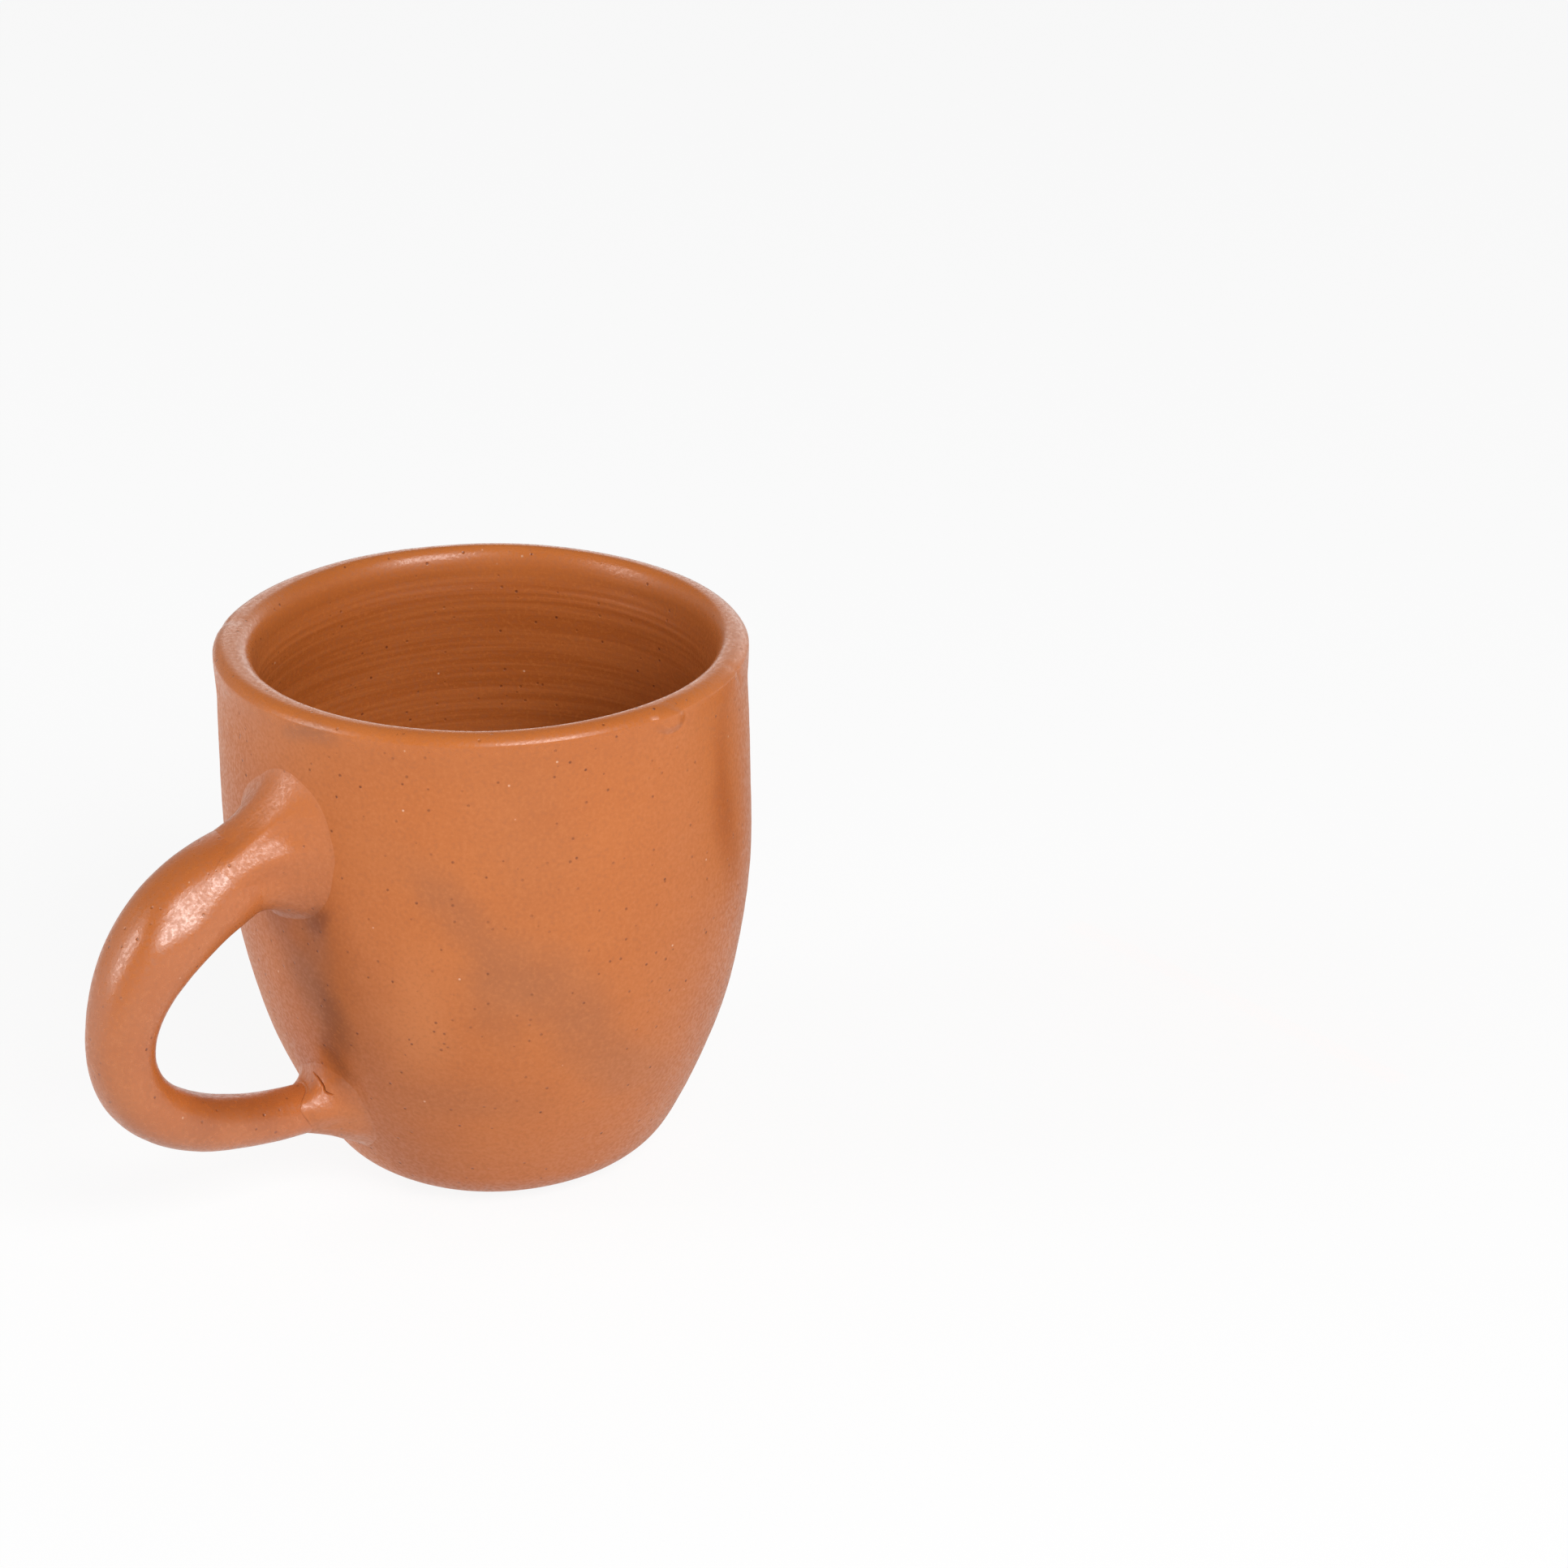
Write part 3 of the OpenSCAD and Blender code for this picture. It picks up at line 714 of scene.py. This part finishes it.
def by_crack(v):
    """Whether a point of the collar's outside lies by the crack."""
    return wall_gap(v.co) > 0.1 and from_crack(v.co)[0] < crack_reach


for ring in lower_rings[1:lower_steps + 2]:
    for i, place in enumerate(ring):
        off = place - thumb_place
        share = 1 - ease((off.length - 1.0) / (thumb_reach - 1.0))
        ring[i] = place - flat_way * off.dot(flat_way) * thumb_press * share
lower_shape = drawn_out(lower_rings)[0]
cracked = [e for e in lower_shape.edges if all(by_crack(v) for v in e.verts)]
bmesh.ops.subdivide_edges(lower_shape, edges=cracked, cuts=2, use_grid_fill=True)
for v in lower_shape.verts:
    if by_crack(v):
        away, along = from_crack(v.co)
        open_here = math.sin(math.pi * (0.05 + 0.9 * along)) ** 0.5
        v.co -= crack_way * crack_depth * math.exp(-(away / crack_w) ** 2) * open_here
bmesh.ops.remove_doubles(lower_shape, verts=lower_shape.verts[:], dist=0.0005)
lower = fired_piece("lower_collar_clay", lower_shape, collar_clay)
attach(lower, "root")
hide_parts("lower_collar")

# Table
# A sheet of white paper, laid flat, that the cup stands on.
# It shows white to the camera and in reflections, and keeps the cup's shadow.

paper_size, paper_tone, paper_glow = 5.0, 0.90, 0.90
paper_sheet = bmesh.new()
bmesh.ops.create_grid(paper_sheet, x_segments=1, y_segments=1, size=paper_size / 2)
paper_mesh = bpy.data.meshes.new("paper")
paper_sheet.to_mesh(paper_mesh)
paper_sheet.free()
paper = bpy.data.objects.new("paper", paper_mesh)
bpy.context.scene.collection.objects.link(paper)

white_paper = bpy.data.materials.new("white_paper")
white_paper.use_nodes = True
nodes = white_paper.node_tree.nodes
nodes.remove(nodes["Principled BSDF"])
fibre = grain(nodes, put(nodes, "ShaderNodeTexCoord").outputs["Object"], 700.0)
matt = put(nodes, "ShaderNodeBsdfDiffuse", {"Color": (paper_tone, paper_tone, paper_tone, 1),
                                            "Normal": raised(nodes, fibre, 0.02)})
glow = put(nodes, "ShaderNodeEmission", {"Color": (1, 1, 1, 1), "Strength": 1.0})
path = put(nodes, "ShaderNodeLightPath")
seen = path.outputs["Is Camera Ray"]
for ray in ("Is Glossy Ray", "Is Transmission Ray"):
    seen = put(nodes, "ShaderNodeMath", {0: seen, 1: path.outputs[ray]}, operation="MAXIMUM").outputs[0]
sheet = put(nodes, "ShaderNodeMixShader", {0: times(nodes, seen, paper_glow), 1: matt.outputs[0], 2: glow.outputs[0]})
white_paper.node_tree.links.new(sheet.outputs[0], nodes["Material Output"].inputs["Surface"])
paper_mesh.materials.append(white_paper)

# Light
# A white room, bright near the table and dim overhead, with a large soft lamp right of the camera,
# a narrow one to its left, a weak one low down behind that, and a card that warms the right of the cup.

camera_turn = 54.0
back_wall_turn, back_wall_rise = 165, 0.27
room_light, back_wall_light, ceiling_light = 0.32, 1.6, 0.07
room = bpy.data.worlds.new("white_room")
bpy.context.scene.world = room
room.use_nodes = True
nodes = room.node_tree.nodes
way = put(nodes, "ShaderNodeTexCoord").outputs["Generated"]
height = put(nodes, "ShaderNodeSeparateXYZ", {0: way}).outputs["Z"]
back_wall = math.radians(camera_turn + back_wall_turn)
behind = Vector((math.cos(back_wall), math.sin(back_wall), back_wall_rise)).normalized()
behind = put(nodes, "ShaderNodeVectorMath", {0: way, 1: behind}, operation="DOT_PRODUCT").outputs["Value"]
wall = spread(nodes, behind, 0.80, 0.95, 0, back_wall_light)
wall = put(nodes, "ShaderNodeMath", {0: wall, 1: room_light}, operation="ADD").outputs[0]
bright = times(nodes, wall, spread(nodes, height, 0.32, 0.58, 1.0, 0.0))
bright = put(nodes, "ShaderNodeMath", {0: bright, 1: ceiling_light}, operation="ADD").outputs[0]
room.node_tree.links.new(bright, nodes["Background"].inputs["Strength"])
nodes["Background"].inputs["Color"].default_value = (1, 1, 1, 1)


def soft_lamp(name, turn, rise, distance, width, depth, power):
    """A soft box that faces the cup from a turn to the side of the camera and a rise above the table."""
    lamp = bpy.data.lights.new(name, "AREA")
    lamp.shape, lamp.size, lamp.size_y, lamp.energy = "RECTANGLE", width, depth, power
    a, e = math.radians(camera_turn + turn), math.radians(rise)
    stand = bpy.data.objects.new(name, lamp)
    bpy.context.scene.collection.objects.link(stand)
    way = Vector((math.cos(a) * math.cos(e), math.sin(a) * math.cos(e), math.sin(e)))
    stand.location = way * distance + Vector((0, 0, 45 * mm))
    stand.rotation_mode = "QUATERNION"
    stand.rotation_quaternion = way.to_track_quat("Z", "Y")
    return stand


soft_lamp("front_lamp", 28, 38, 1.0, 0.60, 0.40, 9.0)
soft_lamp("side_lamp", -77, 27, 0.85, 0.30, 0.46, 2.6)
low_lamp = soft_lamp("low_lamp", -108, 6, 0.9, 0.5, 0.2, 1.15)
low_lamp.visible_glossy = False

# The clay-coloured card stands to the right of the cup, out of the picture, and shows in the burnished wall
card_middle, card_size, card_clay = (-0.130, 0.045, 0.025), (0.004, 0.084, 0.050, 1), (0.42, 0.10, 0.018, 1)
card_shape = bmesh.new()
bmesh.ops.create_cube(card_shape, size=1, matrix=Matrix.Translation(card_middle) @ Matrix.Diagonal(card_size))
card_mesh = bpy.data.meshes.new("card")
card_shape.to_mesh(card_mesh)
card_shape.free()
card = bpy.data.objects.new("card", card_mesh)
bpy.context.scene.collection.objects.link(card)
card.visible_camera = card.visible_shadow = False
warm_card = bpy.data.materials.new("warm_card")
warm_card.use_nodes = True
card_shader = warm_card.node_tree.nodes["Principled BSDF"]
card_shader.inputs["Base Color"].default_value = card_clay
card_shader.inputs["Roughness"].default_value = 0.9
card_mesh.materials.append(warm_card)

# Camera
# It looks down on the cup from the side of its handle, through a long lens.
# Its place, in millimetres, and its turns, in degrees, are those of the photograph.

image_size = 1932
focal = 7000
camera_distance, camera_height = 868.8, 451.0
heading, pitch, roll = 230.74, 24.0, -0.9
lens = bpy.data.cameras.new("camera")
lens.sensor_width = 36
lens.lens = focal / image_size * lens.sensor_width
camera = bpy.data.objects.new("camera", lens)
bpy.context.scene.collection.objects.link(camera)
stand = Vector((camera_distance * math.cos(math.radians(camera_turn)),
                camera_distance * math.sin(math.radians(camera_turn)), camera_height)) * mm
camera.matrix_world = (Matrix.Translation(stand) @ Matrix.Rotation(math.radians(heading - 90), 4, "Z")
                       @ Matrix.Rotation(math.radians(90 - pitch), 4, "X")
                       @ Matrix.Rotation(math.radians(roll), 4, "Z"))
bpy.context.scene.camera = camera
bpy.context.scene.view_settings.view_transform = "Standard"
